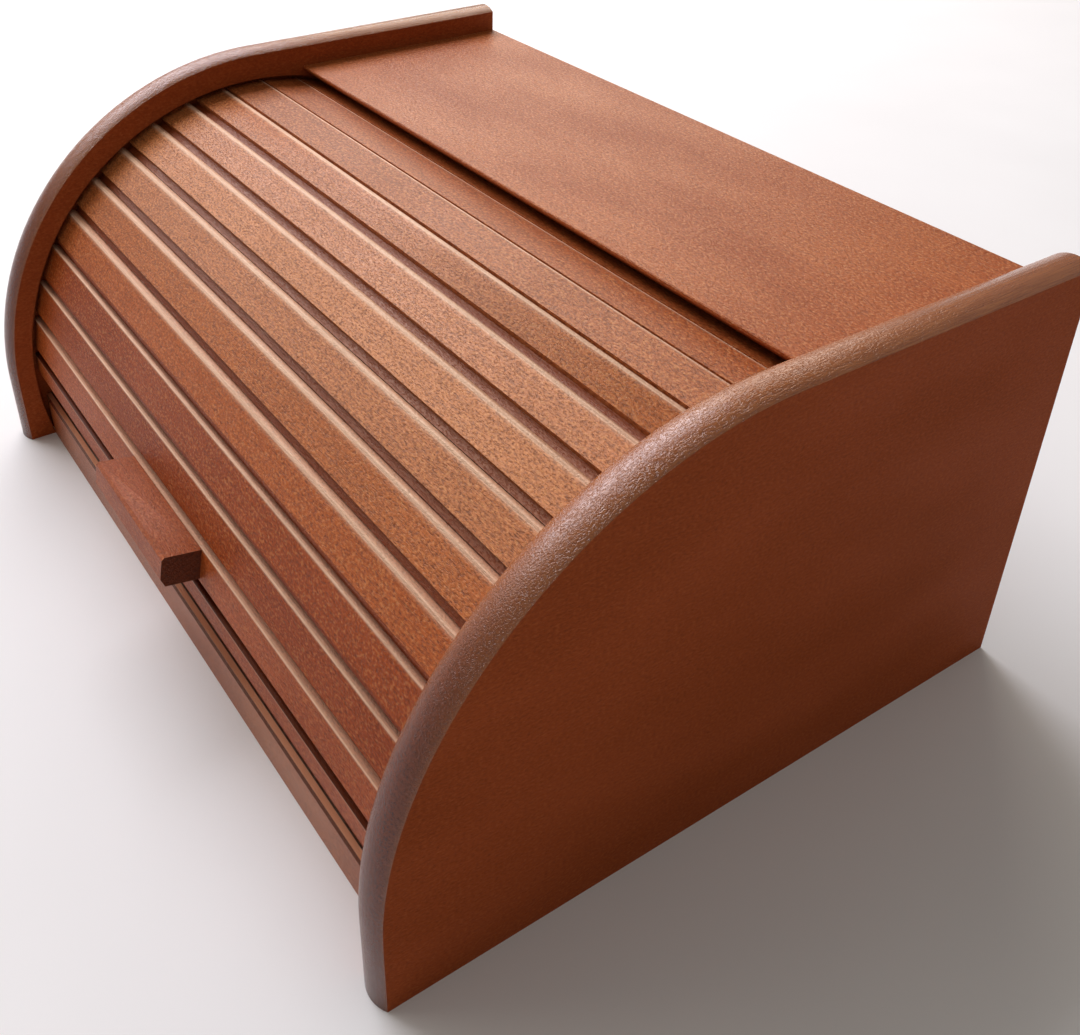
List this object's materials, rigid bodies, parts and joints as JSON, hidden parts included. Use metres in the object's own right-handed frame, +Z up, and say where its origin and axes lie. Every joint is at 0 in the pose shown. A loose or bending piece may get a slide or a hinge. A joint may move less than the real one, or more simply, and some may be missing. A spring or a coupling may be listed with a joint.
{
  "type": "roll-top bread box",
  "caption": "Wooden bread box with crowned side panels and a slatted roll-top curtain that runs up and back in curved grooves, with a short bar handle.",
  "frame": {"origin": "on the surface the box stands on, under the middle of its overall size", "axes": "+X to the right seen from the front, +Y to the back, +Z up; the curtain's front faces -Y"},
  "size_m": [0.39, 0.2924, 0.1824],
  "materials": {
    "side_wood": "satin",
    "top_wood": "satin",
    "base_wood": "satin",
    "back_ply": "satin",
    "rail_wood": "satin",
    "slat_wood": "satin",
    "canvas": "matte",
    "handle_wood": "satin",
    "dowel_wood": "matte",
    "zinc_steel": "satin"
  },
  "bodies": {
    "case": {"left_side_panel": "side_wood", "right_side_panel": "side_wood", "top_board": "top_wood", "base_board": "base_wood", "back_board": "back_ply", "front_rail": "rail_wood", "top_board_dowels": "dowel_wood", "base_board_dowels": "dowel_wood", "rail_dowels": "dowel_wood", "back_board_screws": "zinc_steel"},
    "roll_top": {"slat_01": "slat_wood", "slat_02": "slat_wood", "slat_03": "slat_wood", "slat_04": "slat_wood", "slat_05": "slat_wood", "slat_06": "slat_wood", "slat_07": "slat_wood", "slat_08": "slat_wood", "slat_09": "slat_wood", "slat_10": "slat_wood", "slat_11": "slat_wood", "slat_12": "slat_wood", "slat_13": "slat_wood", "canvas_backing": "canvas", "handle": "handle_wood", "handle_screws": "zinc_steel"}
  },
  "joints": [
    {"name": "roll_top_travel", "type": "hinge", "parent": "case", "child": "roll_top", "pos_m": [0, 0.0003, 0.0323], "axis": [-1, 0, 0], "range_deg": [0, 75]}
  ]
}
